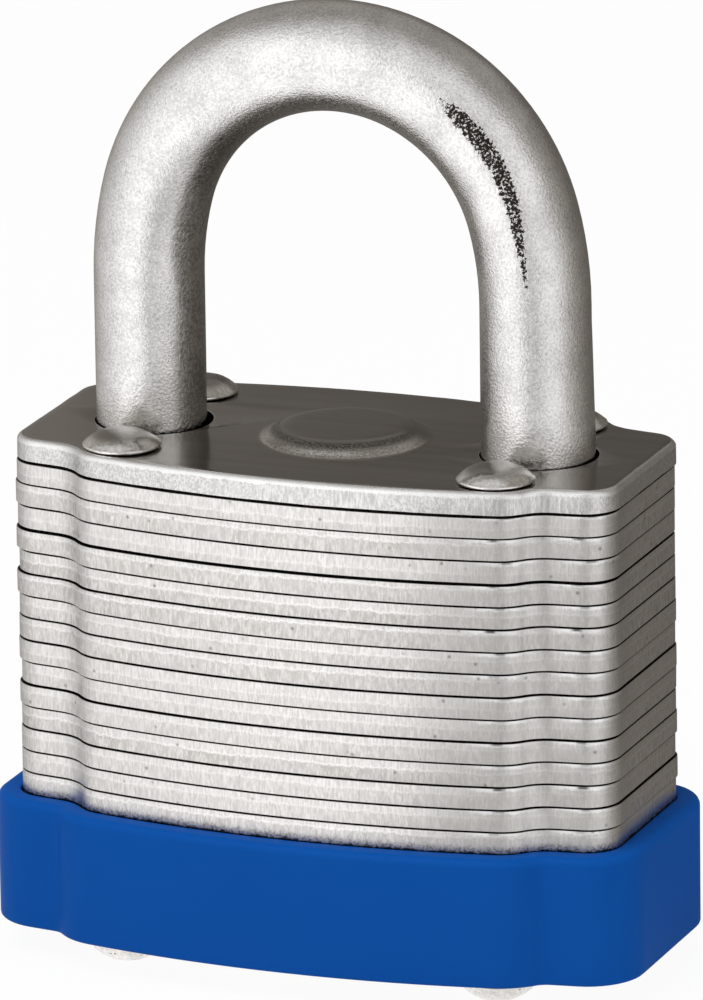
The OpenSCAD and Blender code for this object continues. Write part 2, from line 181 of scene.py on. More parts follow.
def smooth(obj, degrees):
    only(obj)
    bpy.ops.object.shade_smooth_by_angle(angle=math.radians(degrees))


def cut(obj, tool, operation="DIFFERENCE"):
    modify(obj, "BOOLEAN", object=tool, operation=operation, solver="EXACT")
    bpy.data.objects.remove(tool)


def join(objects, name):
    bpy.ops.object.select_all(action="DESELECT")
    for obj in objects:
        obj.select_set(True)
    bpy.context.view_layer.objects.active = objects[0]
    bpy.ops.object.join()
    objects[0].name = objects[0].data.name = name
    return objects[0]


def bore(x, y, low, high, radius, vertices=96):
    bpy.ops.mesh.primitive_cylinder_add(
        vertices=vertices, radius=radius, depth=high - low, location=(x, y, (low + high) / 2)
    )
    return placed(bpy.context.object)


def placed(obj):
    """Writes the object's place into its mesh."""
    only(obj)
    bpy.ops.object.transform_apply(location=True, rotation=True, scale=True)
    return obj


def body_of(node):
    return next(b for b, nodes in frame["record"]["behaviour"]["bodies"].items() if node in nodes)


def slot_of(node):
    return next(p["material_slot"] for p in frame["record"]["subparts"] if p["node"] == node)


def finish(obj, node):
    """Hands a finished piece to the body and the slot of the node that it stands for."""
    body, slot = body_of(node), slot_of(node)
    obj.data.materials.clear()
    obj.data.materials.append(STEEL[slot])
    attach(obj, body)
    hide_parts(node)


def chain(name, points):
    """A line of vertices through the given points, drawn by extruding from the first."""
    bpy.ops.mesh.primitive_plane_add(size=MM, location=(0, 0, 0))
    obj = bpy.context.object
    obj.name = obj.data.name = name
    edit(obj)
    pick("verts", lambda v: v.index > 0)
    bpy.ops.mesh.delete(type="VERT")
    bpy.ops.mesh.select_all(action="SELECT")
    start = bmesh.from_edit_mesh(obj.data).verts[:][0].co.copy()
    bpy.ops.transform.translate(value=Vector(points[0]) - start)
    for before, after in zip(points, points[1:]):
        step = Vector(after) - Vector(before)
        bpy.ops.mesh.extrude_vertices_move(TRANSFORM_OT_translate={"value": step})
    return obj


def lathe(name, profile, steps=64, centre=(0, 0)):
    """A turned piece. The profile is a list of (radius, height) that starts and ends
    on the axis."""
    x, y = centre
    obj = chain(name, [(x + r, y, z) for r, z in profile])
    bpy.ops.mesh.select_all(action="SELECT")
    bpy.ops.mesh.spin(steps=steps, angle=math.tau, center=(x, y, 0), axis=(0, 0, 1))
    done()
    outward(obj)
    return obj


def roughened(obj, name, size, amount, where=lambda co: True):
    """Pushes the surface in and out a little, as hammering and stamping leave it."""
    texture = bpy.data.textures.get(name) or bpy.data.textures.new(name, "CLOUDS")
    texture.noise_scale = size
    texture.noise_depth = 2
    part = obj.vertex_groups.new(name="part")
    for vertex in obj.data.vertices:
        if where(vertex.co):
            part.add([vertex.index], 1.0, "REPLACE")
    modify(
        obj, "DISPLACE", texture=texture, texture_coords="LOCAL", strength=amount,
        mid_level=0.5, direction="NORMAL", vertex_group="part",
    )
    obj.vertex_groups.clear()


# ---- outline of the body

bulge_c = Vector((0, BODY_D / 2 - BULGE_R))
bulge_turn = math.asin(SHOULDER_X / BULGE_R)
shoulder_c = bulge_c + (BULGE_R - SHOULDER_R) * Vector((math.sin(bulge_turn), math.cos(bulge_turn)))
face_dir = Vector((-math.cos(END_TAPER), math.sin(END_TAPER)))
face_normal = Vector((math.sin(END_TAPER), math.cos(END_TAPER)))
end_corner = Vector((BODY_W / 2, END_D / 2))
to_hollow = end_corner + SHOULDER_R * face_normal - shoulder_c
along = to_hollow.dot(face_dir)
slide = -along - math.sqrt(along**2 - to_hollow.length_squared + 4 * SHOULDER_R**2)
hollow_c = shoulder_c + to_hollow + slide * face_dir
hollow_turn = math.atan2(shoulder_c.y - hollow_c.y, shoulder_c.x - hollow_c.x) % math.tau
corner_c = (
    end_corner
    - END_R * face_normal
    + END_R * (1 - math.sin(END_TAPER)) / math.cos(END_TAPER) * face_dir
)


def outline(name, height, offset=0.0, fill=True):
    """The body's outline, offset outwards. Arcs are spun one after another for a
    quarter of the way round, and the rest is mirrored."""
    obj = chain(name, [(0, BODY_D / 2 + offset, height)])
    bpy.ops.mesh.select_all(action="SELECT")

    def arc(centre, turn, steps):
        bpy.ops.mesh.spin(
            steps=steps, angle=-turn, center=(centre.x, centre.y, height), axis=(0, 0, 1)
        )

    def line(way, steps):
        for _ in range(steps):
            bpy.ops.mesh.extrude_vertices_move(TRANSFORM_OT_translate={"value": (*way / steps, 0)})

    arc(bulge_c, -bulge_turn, 26)
    arc(shoulder_c, hollow_turn - math.pi - (math.pi / 2 - bulge_turn), 8)
    arc(hollow_c, math.tau * 0.75 - END_TAPER - hollow_turn, 8)
    line(corner_c - hollow_c + (END_R + SHOULDER_R) * face_normal, 4)
    arc(corner_c, END_TAPER - math.pi / 2, 10)
    line(Vector((0, -corner_c.y)), 9)
    done()
    modify(
        obj, "MIRROR", use_axis=(True, True, False), use_mirror_merge=True,
        merge_threshold=0.01 * MM,
    )
    edit_all(obj)
    bpy.ops.mesh.remove_doubles(threshold=0.005 * MM)
    if fill:
        bpy.ops.mesh.edge_face_add()
    done()
    return obj


# ---- stamped plates

PLATE_GAP = 0.13 * MM
ROLL_R, TOP_ROLL_R = 0.10 * MM, 0.42 * MM
LAND_INSET, TOP_INSET = 0.9 * MM, 0.5 * MM
TOP_DRIFT = 0.2 * MM

# Waves and torn metal in the sheared walls: their size and how far they reach
PLATE_WAVES, PLATE_TEARS = (5 * MM, 0.07 * MM), (0.8 * MM, 0.012 * MM)
RIM_WAVES, RIM_TEARS = (4 * MM, 0.08 * MM), (0.8 * MM, 0.03 * MM)

# Side of the boss from the middle outwards, in shares of its flat's radius and its height
BOSS_SWELL = (
    (0, 1), (0.5, 1), (0.74, 0.995), (0.84, 0.97), (0.92, 0.9), (0.99, 0.76), (1.06, 0.57),
    (1.12, 0.37), (1.165, 0.2), (1.2, 0.09), (1.235, 0.03), (1.28, 0.0), (1.3, -0.02),
)

# Each plate takes its waves from this much higher up, so that no two are alike
WAVE_STEP = 40 * MM


def rolled_slab(name, low, roll_r, segments, profile, inset):
    """One thickness of sheet with a rolled top edge. It stays in edit mode, with the
    inset part of its top face picked."""
    slab = outline(name, low)
    edit_all(slab, "FACE")
    raised(PLATE_T)
    done()
    outward(slab)
    edit(slab, "EDGE")
    pick("edges", lambda e: min(v.co.z for v in e.verts) > low + PLATE_T - NEAR)
    bpy.ops.mesh.bevel(offset=roll_r, segments=segments, profile=profile, affect="EDGES")
    done()
    edit(slab, "FACE")
    pick("faces", lambda f: f.normal.z > 0.99 and len(f.verts) > 50)
    bpy.ops.mesh.inset(thickness=inset)
    return slab


def plate_block(name):
    """The outside of one plate: sheared wall, rolled top edge, and a raised land that
    the next plate lies on. It's a little taller than a plate, to be trimmed by it."""
    block = rolled_slab(name, -PLATE_GAP, ROLL_R, 3, 0.5, LAND_INSET)
    raised(2 * PLATE_GAP)
    done()
    return block


def widened(node, name, by):
    """A copy of a plate whose outer wall stands further out."""
    plate = solid_copy(node, name)
    edit(plate, "FACE")
    reach = max(v.co.x for v in plate.data.vertices) - 0.01 * MM
    pick("faces", lambda f: abs(f.normal.z) < 0.1 and f.calc_center_median().x > reach)
    bpy.ops.mesh.faces_select_linked_flat(sharpness=math.radians(50))
    bpy.ops.transform.shrink_fatten(value=by)
    done()
    return plate


def stamped_plate(node, block, level, drift, spread, sink):
    """A plate of the stack. The CAD plate gives the holes, and the block the outside."""
    tool = copied(block, "tool")
    edit_all(tool)
    bpy.ops.transform.resize(value=(1 + spread[0], 1 + spread[1], 1), center_override=(0, 0, 0))
    bpy.ops.transform.translate(value=(0, 0, WAVE_STEP * level))
    done()
    roughened(tool, "plate_waviness", *PLATE_WAVES)
    roughened(tool, "edge_tearing", *PLATE_TEARS)
    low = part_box(node)[0].z
    moved(tool, (drift[0], drift[1], low - WAVE_STEP * level - sink))
    plate = widened(node, f"{node}_stamped", 0.5 * MM)
    cut(plate, tool, "INTERSECT")
    tidy(plate)
    smooth(plate, 40)
    return plate


def tidy(obj):
    """Merges what a cut left doubled, and flattens its slivers away."""
    edit_all(obj)
    bpy.ops.mesh.remove_doubles(threshold=0.002 * MM)
    bpy.ops.mesh.dissolve_degenerate(threshold=0.001 * MM)
    done()


def top_plate_pressed():
    """The top plate: rolled edge, soft round boss, and the holes for legs and rivets."""
    low = top_z - PLATE_T
    plate = rolled_slab("top_plate_pressed", low, TOP_ROLL_R, 6, 0.42, TOP_INSET)
    done()
    for name, waves in (("rim_waviness", RIM_WAVES), ("edge_tearing", RIM_TEARS)):
        roughened(plate, name, *waves, lambda co: co.z < top_z - NEAR)

    flat_r, sole_z = BOSS_R - BOSS_SLOPE, low + 1.2 * MM
    profile = [(r * flat_r, top_z + h * BOSS_H) for r, h in BOSS_SWELL]
    boss = lathe("boss", profile + [(BOSS_R, sole_z), (0, sole_z)], steps=96)
    cut(plate, boss, "UNION")
    moved(plate, (TOP_DRIFT, 0, 0))
    over = 1 * MM
    tools = [bore(s * LEG_X + TOP_DRIFT, 0, low - over, top_z + over, LEG_HOLE_R) for s in (-1, 1)]
    tools += [
        bore(x, y, low - over, top_z + over, RIVET_R + RUN_CLEAR, 48)
        for x in (-rivet_x, rivet_x) for y in (-rivet_y, rivet_y)
    ]
    tools.append(bore(0, 0, low - over, low + BOSS_H, flat_r - PLATE_T / 2))
    cut(plate, join(tools, "tools"))
    tidy(plate)

    def round_leg_hole(e):
        return all(
            abs(v.co.z - top_z) < 0.02 * MM
            and abs(math.hypot(abs(v.co.x - TOP_DRIFT) - LEG_X, v.co.y) - LEG_HOLE_R) < NEAR
            for v in e.verts
        )

    edit(plate, "EDGE")
    pick("edges", round_leg_hole)
    bpy.ops.mesh.bevel(offset=0.12 * MM, segments=2, affect="EDGES")
    done()
    smooth(plate, 40)
    return plate


# ---- rivets


# Outline of the foot, in shares of its radius and height, and of the head's rim, in
# shares of its radius and in millimetres. The dome above the rim is a flattened cap
RIVET_FOOT = (
    (0.28, 0), (0.42, 0.03), (0.58, 0.13), (0.76, 0.32), (0.9, 0.54), (0.98, 0.76),
    (1.0, 0.9), (0.94, 1.0),
)
RIVET_RIM = (
    (0.8, 0.0), (0.93, 0.06), (0.985, 0.14), (1.0, 0.23), (0.992, 0.3), (0.965, 0.36),
)
DOME_H, DOME_POWER = 1.02 * MM, 2.9


def rivet(name, x, y):
    """A hammered rivet. Its top head is a low dome that is undercut all round, and
    its foot is a blunt button that the lock stands on."""
    head_r = RIVET_HEAD_R
    foot_h = stack_z - foot_z
    rim_share, rim_h = RIVET_RIM[-1]
    profile = [(0, foot_z)]
    profile += [(r * head_r, foot_z + h * foot_h) for r, h in RIVET_FOOT]
    profile += [(RIVET_R, stack_z), (RIVET_R, top_z)]
    profile += [(r * head_r, top_z + h * MM) for r, h in RIVET_RIM]
    for share in (0.94, 0.88, 0.81, 0.73, 0.63, 0.52, 0.4, 0.26, 0.13, 0):
        lift = DOME_H * (1 - share**DOME_POWER)
        profile.append((share * rim_share * head_r, top_z + rim_h * MM + lift))
    piece = lathe(name, profile, steps=56, centre=(x, y))
    edit(piece)
    pick("verts", lambda v: v.co.z > top_z + NEAR)
    bpy.ops.transform.translate(value=(TOP_DRIFT, 0, 0))
    done()
    roughened(piece, "hammering", 2.2 * MM, 0.12 * MM, lambda co: co.z > top_z + 0.1 * MM)
    return piece


def rivet_set():
    heads = [
        rivet(f"rivet_{i}", x, y)
        for i, (x, y) in enumerate((x, y) for x in (-rivet_x, rivet_x) for y in (-rivet_y, rivet_y))
    ]
    piece = join(heads, "rivets_hammered")
    smooth(piece, 50)
    return piece


# ---- shackle

SIDE_BEND_R, TOP_BEND_R = 27.05 * MM, 15.71 * MM
SIDE_TURN = math.radians(15.07)
BEND_Z = top_z + 11.95 * MM
ARCH_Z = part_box("shackle")[1].z - BAR_R - TOP_BEND_R

# The bar is a little thicker where it enters the holes. Shares are ring by ring upwards
FOOT_GROWTH = 0.13 * MM
FOOT_SWELL = (0.35, 0.9, 1, 0.9, 0.75, 0.62, 0.5, 0.4, 0.28, 0.15)


def bent_shackle():
    """The legs keep their notches and neck. The bar above them is one circle drawn up
    out of the toe hole, bent in three arcs, and drawn down into the heel hole."""
    join_z = top_z - 3.6 * MM
    legs = solid_copy("shackle", "legs")
    edit_all(legs, "FACE")
    bpy.ops.mesh.dissolve_limited(angle_limit=math.radians(0.4))
    bpy.ops.mesh.select_all(action="SELECT")
    bpy.ops.mesh.bisect(plane_co=(0, 0, join_z), plane_no=(0, 0, 1), clear_outer=True)
    done()

    start_z = join_z + 0.5 * MM
    bpy.ops.mesh.primitive_circle_add(vertices=80, radius=BAR_R, location=(LEG_X, 0, start_z))
    bar = placed(bpy.context.object)
    edit_all(bar, "EDGE")
    steps = 12
    rise = (BEND_Z - start_z) / steps
    for _ in range(steps):
        drawn(rise)

    def bend(x, z, turn, steps):
        bpy.ops.mesh.spin(steps=steps, angle=turn, center=(x, 0, z), axis=(0, 1, 0))

    side_x = SIDE_BEND_R - LEG_X
    bend(-side_x, BEND_Z, SIDE_TURN, 6)
    bend(0, ARCH_Z, math.pi - 2 * SIDE_TURN, 56)
    bend(side_x, BEND_Z, SIDE_TURN, 6)
    for _ in range(steps):
        drawn(-rise)
    for side in (-1, 1):
        for ring, share in enumerate(FOOT_SWELL, start=1):
            z = start_z + ring * rise
            pick("verts", lambda v: abs(v.co.z - z) < NEAR and v.co.x * side > 0)
            grow = 1 + share * FOOT_GROWTH / BAR_R
            bpy.ops.transform.resize(value=(grow, grow, 1), center_override=(side * LEG_X, 0, z))
            bpy.ops.transform.translate(value=(share * FOOT_GROWTH, 0, 0))
    done()

    shackle = join([legs, bar], "shackle_bent")
    for side in (-1, 1):
        edit(shackle, "EDGE")
        pick("edges", lambda e: e.is_boundary and e.verts[0].co.x * side > 0)
        bpy.ops.mesh.bridge_edge_loops()
        done()
    outward(shackle)
    smooth(shackle, 40)
    return shackle


# ---- bumper


BUMPER_LOW_R, BUMPER_HIGH_R, BUMPER_INNER_R = 0.35 * MM, 0.7 * MM, 0.18 * MM
RIB_CLEAR, RIB_DEPTH = 0.1 * MM, 0.7 * MM


def soft_bumper():
    """A moulded band round the foot of the stack, with a rib inside that holds it."""
    low, high = bumper_lo.z, bumper_hi.z
    wall = bumper_hi.x - BODY_W / 2 - RUN_CLEAR
    band = outline("bumper_moulded", low, RUN_CLEAR, fill=False)
    rib_low, rib_high = (corner.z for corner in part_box(RIB_PLATE))
    edit_all(band, "EDGE")
    rib_low, rib_high = rib_low + RIB_CLEAR, rib_high - RIB_CLEAR
    for step in (rib_low - low, rib_high - rib_low, high - rib_high):
        drawn(step)
    bpy.ops.mesh.select_all(action="SELECT")
    bpy.ops.mesh.normals_make_consistent(inside=False)
    done()
    modify(band, "SOLIDIFY", thickness=wall, offset=1, use_even_offset=True, use_rim=True)
    outward(band)

    def outer(v):
        return abs(v.co.x) > BODY_W / 2 + 0.6 * MM or not inside_body(v.co, 0.9 * MM)

    edit(band, "EDGE")
    for end, radius in ((low, BUMPER_LOW_R), (high, BUMPER_HIGH_R)):
        pick(
            "edges",
            lambda e: all(abs(v.co.z - end) < 0.001 * MM and outer(v) for v in e.verts),
        )
        bpy.ops.mesh.bevel(offset=radius, segments=6, profile=0.5, affect="EDGES")
    pick(
        "edges",
        lambda e: abs(e.verts[0].co.z - e.verts[1].co.z) < 0.001 * MM
        and min(abs(e.verts[0].co.z - z) for z in (low, high)) < 0.001 * MM
        and len(e.link_faces) == 2
        and e.calc_face_angle(0) > 1.2,
    )
    bpy.ops.mesh.bevel(offset=BUMPER_INNER_R, segments=3, profile=0.5, affect="EDGES")
    bpy.ops.mesh.select_mode(type="FACE")
    pick(
        "faces",
        lambda f: abs(f.normal.z) < 0.1
        and rib_low < f.calc_center_median().z < rib_high
        and inside_body(f.calc_center_median(), 0.5 * MM),
    )
    bpy.ops.mesh.extrude_region_shrink_fatten(TRANSFORM_OT_shrink_fatten={"value": RIB_DEPTH})
    done()
    outward(band)
    smooth(band, 45)
    return band


def inside_body(point, reach):
    """Whether a point lies inside the body's outline, offset outwards by reach."""
    x, y = abs(point.x), abs(point.y)
    if x > BODY_W / 2 + reach:
        return False
    if x > corner_c.x and y > corner_c.y:
        return math.hypot(x - corner_c.x, y - corner_c.y) < END_R + reach
    if x <= shoulder_c.x + (SHOULDER_R + reach) * math.sin(bulge_turn):
        return math.hypot(x - bulge_c.x, y - bulge_c.y) < BULGE_R + reach
    turn = math.atan2(y - shoulder_c.y, x - shoulder_c.x)
    if turn > hollow_turn - math.pi:
        return math.hypot(x - shoulder_c.x, y - shoulder_c.y) < SHOULDER_R + reach
    turn = math.atan2(y - hollow_c.y, x - hollow_c.x) % math.tau
    if hollow_turn < turn < math.tau * 0.75 - END_TAPER:
        return math.hypot(x - hollow_c.x, y - hollow_c.y) > SHOULDER_R - reach
    return (Vector((x, y)) - end_corner).dot(face_normal) < reach


# ---- works inside

# Edges sharper than this are bevelled and stay sharp in the shading, in degrees
MACHINED_ANGLE = 35


def eased(node, name, width):
    """A CAD piece with its machined edges broken by a small bevel."""
    piece = solid_copy(node, name)
    edit_all(piece)
    bpy.ops.mesh.dissolve_limited(angle_limit=math.radians(0.3))
    done()
    modify(
        piece, "BEVEL", width=width, segments=2, limit_method="ANGLE",
        angle_limit=math.radians(MACHINED_ANGLE), use_clamp_overlap=True, miter_outer="MITER_ARC",
    )
    tidy(piece)
    smooth(piece, MACHINED_ANGLE)
    return piece


# ---- material helpers


def put(tree, kind, inputs=None, **settings):
    """Adds a node. Inputs are numbers, colours or the sockets that feed them."""
    made = tree.nodes.new("ShaderNode" + kind)
    for key, value in settings.items():
        setattr(made, key, value)
    for key, value in (inputs or {}).items():
        if isinstance(value, bpy.types.NodeSocket):
            tree.links.new(value, made.inputs[key])
        else:
            made.inputs[key].default_value = value
    return made


def calc(tree, operation, *values):
    return put(tree, "Math", dict(enumerate(values)), operation=operation).outputs[0]


def times(tree, a, b):
    return calc(tree, "MULTIPLY", a, b)


def minus(tree, a, b):
    return calc(tree, "SUBTRACT", a, b)


def sum_of(tree, a, factor, b):
    """a * factor + b"""
    return calc(tree, "MULTIPLY_ADD", a, factor, b)


def wander(tree, pattern, width, value):
    """Lets a value stray to both sides by half the width, as a pattern says."""
    return sum_of(tree, minus(tree, pattern, 0.5), width, value)


def step(tree, value, low, high, to_low=0.0, to_high=1.0):
    """A soft step from to_low to to_high as value passes from low to high."""
    made = put(
        tree, "MapRange",
        {"Value": value, "From Min": low, "From Max": high, "To Min": to_low, "To Max": to_high},
        interpolation_type="SMOOTHSTEP",
    )
    return made.outputs["Result"]


def fall(tree, value, low, high):
    return step(tree, value, low, high, 1, 0)


def size_of(tree, value):
    return calc(tree, "ABSOLUTE", value)


def mix(tree, factor, a, b):
    """Mixes two colours."""
    return put(tree, "Mix", {0: factor, 6: a, 7: b}, data_type="RGBA").outputs[2]


def number(tree, factor, a, b):
    """Mixes two numbers."""
    return put(tree, "Mix", {0: factor, 2: a, 3: b}, data_type="FLOAT").outputs[0]


def noise(tree, where, scale, detail=2.0, roughness=0.5, distortion=0.0):
    made = put(
        tree, "TexNoise",
        {"Vector": where, "Scale": scale, "Detail": detail, "Roughness": roughness,
         "Distortion": distortion},
    )
    return made.outputs["Fac"]


def stretched(tree, where, scale, shift=(0, 0, 0)):
    """Squeezes or shifts the space that a pattern is drawn in."""
    made = put(tree, "Mapping", {"Vector": where, "Scale": scale, "Location": shift})
    return made.outputs[0]


def grey(value, warmth=0.0):
    return (value * (1 + warmth), value, value * (1 - 1.1 * warmth), 1)


def group(name, inputs, outputs):
    """An empty node group. Inputs are (name, kind, value), outputs (name, kind)."""
    tree = bpy.data.node_groups.new(name, "ShaderNodeTree")
    for title, kind, value in inputs:
        socket = tree.interface.new_socket(title, in_out="INPUT", socket_type="NodeSocket" + kind)
        if value is not None:
            socket.default_value = value
    for title, kind in outputs:
        tree.interface.new_socket(title, in_out="OUTPUT", socket_type="NodeSocket" + kind)
    return tree, tree.nodes.new("NodeGroupInput").outputs, tree.nodes.new("NodeGroupOutput").inputs


def use(tree, made_group, **inputs):
    return put(tree, "Group", inputs, node_tree=made_group).outputs


def facing_up(tree):
    normal = put(tree, "NewGeometry").outputs["Normal"]
    return put(tree, "SeparateXYZ", {0: normal}).outputs["Z"]


def reach_of(tree, **parts):
    """Length of a vector that has the given parts along X, Y or Z."""
    whole = put(tree, "CombineXYZ", parts).outputs[0]
    return put(tree, "VectorMath", {0: whole}, operation="LENGTH").outputs["Value"]


def grain_group():
    """Fine speckle of a blasted or cast surface: a tone and a height."""
    tree, given, out = group(
        "Grain",
        [("Where", "Vector", None), ("Size", "Float", 4000.0), ("Softness", "Float", 0.6)],
        [("Tone", "Float"), ("Height", "Float")],
    )
    fine = noise(tree, given["Where"], given["Size"], 3, given["Softness"])
    broad = noise(tree, given["Where"], times(tree, given["Size"], 0.07), 3, 0.6)
    tree.links.new(number(tree, 0.35, fine, broad), out["Tone"])
    tree.links.new(fine, out["Height"])
    return tree


def pits_group():
    """Scattered round pits: a mask that is 1 in a pit, and a height."""
    tree, given, out = group(
        "Pits",
        [("Where", "Vector", None), ("Size", "Float", 1500.0), ("Amount", "Float", 0.25)],
        [("Mask", "Float"), ("Height", "Float")],
    )
    cells = put(
        tree, "TexVoronoi",
        {"Vector": given["Where"], "Scale": given["Size"], "Randomness": 1.0}, feature="F1",
    )
    own = put(tree, "TexWhiteNoise", {"Vector": cells.outputs["Position"]}, noise_dimensions="3D")
    edge = calc(tree, "ADD", given["Amount"], 0.02)
    kept = fall(tree, own.outputs["Value"], given["Amount"], edge)
    size = sum_of(tree, own.outputs["Value"], -0.9, 0.42)
    hole = fall(tree, cells.outputs["Distance"], 0.0, size)
    mask = times(tree, hole, kept)
    tree.links.new(mask, out["Mask"])
    tree.links.new(times(tree, mask, -1), out["Height"])
    return tree


def streak_group():
    """Fine lines along one axis, as shearing, drawing and brushing leave."""
    tree, given, out = group(
        "Streaks",
        [("Where", "Vector", None), ("Stretch", "Vector", (1, 1, 0.04)), ("Size", "Float", 3000.0)],
        [("Tone", "Float"), ("Height", "Float")],
    )
    squeezed = put(
        tree, "VectorMath", {0: given["Where"], 1: given["Stretch"]}, operation="MULTIPLY"
    ).outputs[0]
    fine = noise(tree, squeezed, given["Size"], 2, 0.55)
    broad = noise(tree, squeezed, times(tree, given["Size"], 0.22), 2, 0.5)
    both = sum_of(tree, broad, 0.55, times(tree, fine, 0.45))
    tree.links.new(step(tree, both, 0.32, 0.68), out["Tone"])
    tree.links.new(both, out["Height"])
    return tree


GRAIN, PITS, STREAKS = grain_group(), pits_group(), streak_group()


def new_tree(name):
    made = bpy.data.materials.new(name)
    made.use_nodes = True
    return made, made.node_tree


def material(name, metallic=1.0, roughness=0.4, **shader):
    """A new material: its tree, its shader and the Object coordinates."""
    made, tree = new_tree(name)
    bsdf = tree.nodes["Principled BSDF"]
    bsdf.inputs["Metallic"].default_value = metallic
    bsdf.inputs["Roughness"].default_value = roughness
    for key, value in shader.items():
        bsdf.inputs[key.replace("_", " ")].default_value = value
    where = tree.nodes.new("ShaderNodeTexCoord").outputs["Object"]
    return made, tree, bsdf, where


def surface(tree, bsdf, colour, roughness, height, depth, strength):
    """Feeds the shader. Depth is the height of the bumps in metres."""
    tree.links.new(colour, bsdf.inputs["Base Color"])
    tree.links.new(roughness, bsdf.inputs["Roughness"])
    bump = put(tree, "Bump", {"Height": height, "Distance": depth, "Strength": strength})
    tree.links.new(bump.outputs["Normal"], bsdf.inputs["Normal"])


# ---- materials


def plate_steel():
    """Sheared plate edge. A ragged line parts a smooth upper band from a greyer torn
    one below, more on some plates than on others, with a painted highlight just above
    the line. What faces up or down is dark, and the underside of the stack is painted
    near black as shade."""
    made, tree, bsdf, where = material("plate_steel")
    x, y, z = put(tree, "SeparateXYZ", {0: where}).outputs
    level = calc(tree, "DIVIDE", minus(tree, z, stack_z), PLATE_T)
    own = put(
        tree, "TexWhiteNoise", {"W": calc(tree, "FLOOR", level)}, noise_dimensions="1D"
    )
    red, green, blue = put(tree, "SeparateColor", {0: own.outputs["Color"]}).outputs
    h = calc(tree, "FRACT", level)
    shifted = put(
        tree, "VectorMath", {0: where, 1: own.outputs["Color"]}, operation="ADD"
    ).outputs[0]

    lines = noise(tree, stretched(tree, shifted, (1, 1, 0.22)), 6200.0, 2, 0.6)
    mottle = noise(tree, stretched(tree, shifted, (1, 1, 0.3)), 3500.0, 3, 0.75)
    cloud = noise(tree, stretched(tree, shifted, (1, 1, 0.4)), 260.0, 3, 0.6)
    ragged = noise(tree, stretched(tree, shifted, (1, 1, 0.3)), 1500.0, 3, 0.7)

    edge = sum_of(tree, red, 0.36, 0.34)
    edge = wander(tree, cloud, 0.25, edge)
    edge = wander(tree, ragged, 0.20, edge)
    edge = wander(tree, mottle, 0.35, edge)
    above = minus(tree, h, edge)
    amount = step(tree, green, 0.1, 0.9, 0.5, 1.0)
    torn = times(tree, fall(tree, above, -0.04, 0.02), amount)
    # Painted highlight: a near-white line just above the ragged line between the bands
    painted_lip_highlight = size_of(tree, minus(tree, above, 0.05))
    painted_lip_highlight = times(tree, fall(tree, painted_lip_highlight, 0.0, 0.07), amount)

    smooth_band = mix(tree, step(tree, lines, 0.34, 0.66), grey(0.66, 0.03), grey(0.86, 0.025))
    torn_band = mix(tree, step(tree, mottle, 0.38, 0.62), grey(0.54, 0.04), grey(0.77, 0.03))
    torn_band = mix(tree, step(tree, lines, 0.36, 0.60, 0.4, 0), torn_band, grey(0.44, 0.04))
    wall = mix(tree, sum_of(tree, torn, 0.8, 0.2), smooth_band, torn_band)
    wall = mix(tree, step(tree, cloud, 0.35, 0.75, 0.0, 0.35), wall, grey(0.68, 0.02))
    wall = mix(tree, times(tree, painted_lip_highlight, 0.55), wall, grey(0.97, 0.01))
    aside = stretched(tree, shifted, (1, 1, 1), (0.4, 0, 0))
    burrs = use(tree, PITS, Where=aside, Size=1300.0, Amount=0.05)
    burr = times(tree, burrs["Mask"], times(tree, torn, step(tree, blue, 0.4, 0.6)))
    wall = mix(tree, times(tree, burr, 0.8), wall, grey(1.0))
    # The walls are darker towards the right front hollow
    right_front_darkening = times(tree, step(tree, x, 9 * MM, 14 * MM), fall(tree, y, -6 * MM, -2 * MM))
    wall = mix(tree, times(tree, right_front_darkening, 0.45), wall, grey(0.55, 0.03))

    # At the end of the die, two painted dark marks stand for the shade of its roll, each between
    # two painted highlights of the roll
    die = Vector((corner_c.x + END_R * 0.3, -corner_c.y - END_R * 0.95))
    stray = times(tree, minus(tree, red, 0.5), 1.2 * MM)
    from_end = minus(tree, calc(tree, "ADD", x, stray), die.x)
    from_shoulder = size_of(tree, calc(tree, "ADD", from_end, die.x - SHOULDER_X - 0.4 * MM))
    along = calc(tree, "MINIMUM", size_of(tree, from_end), from_shoulder)
    at_corner = fall(tree, y, die.y + 2.0 * MM, die.y + 3.2 * MM)
    near = times(tree, fall(tree, along, 0.6 * MM, 3.0 * MM), at_corner)
    painted_roll_highlight = times(tree, near, step(tree, sum_of(tree, ragged, 0.3, h), 0.86, 1.0))
    wall = mix(tree, times(tree, painted_roll_highlight, 0.9), wall, grey(1.0))
    painted_roll_shade = fall(tree, sum_of(tree, ragged, 0.9 * MM, along), 0.60 * MM, 1.1 * MM)
    painted_roll_shade = times(tree, times(tree, painted_roll_shade, near), step(tree, h, 0.78, 0.88))
    painted_roll_shade = times(tree, painted_roll_shade, sum_of(tree, blue, 0.7, 0.3))
    wall = mix(tree, painted_roll_shade, wall, grey(0.12, 0.07))

    specks = use(tree, PITS, Where=shifted, Size=1700.0, Amount=0.03)
    wall = mix(tree, times(tree, specks["Mask"], 0.7), wall, grey(0.10, 0.06))
    above_bumper = minus(tree, z, bumper_hi.z)
    above_bumper = wander(tree, ragged, 0.8 * MM, above_bumper)
    grime = step(tree, above_bumper, 0.15 * MM, 0.8 * MM, 0.7, 0)
    crumbs = step(tree, noise(tree, shifted, 4600.0, 2, 0.6), 0.42, 0.54)
    wall = mix(tree, grime, wall, mix(tree, crumbs, (0.13, 0.095, 0.06, 1), (0.60, 0.54, 0.46, 1)))
    # Painted shadow: a near-black line on the walls just above the bumper, where the gap to it is
    # in shade
    painted_gap_shadow = step(tree, above_bumper, -0.02 * MM, 0.14 * MM, 0.9, 0)
    wall = mix(tree, painted_gap_shadow, wall, grey(0.02, 0.1))

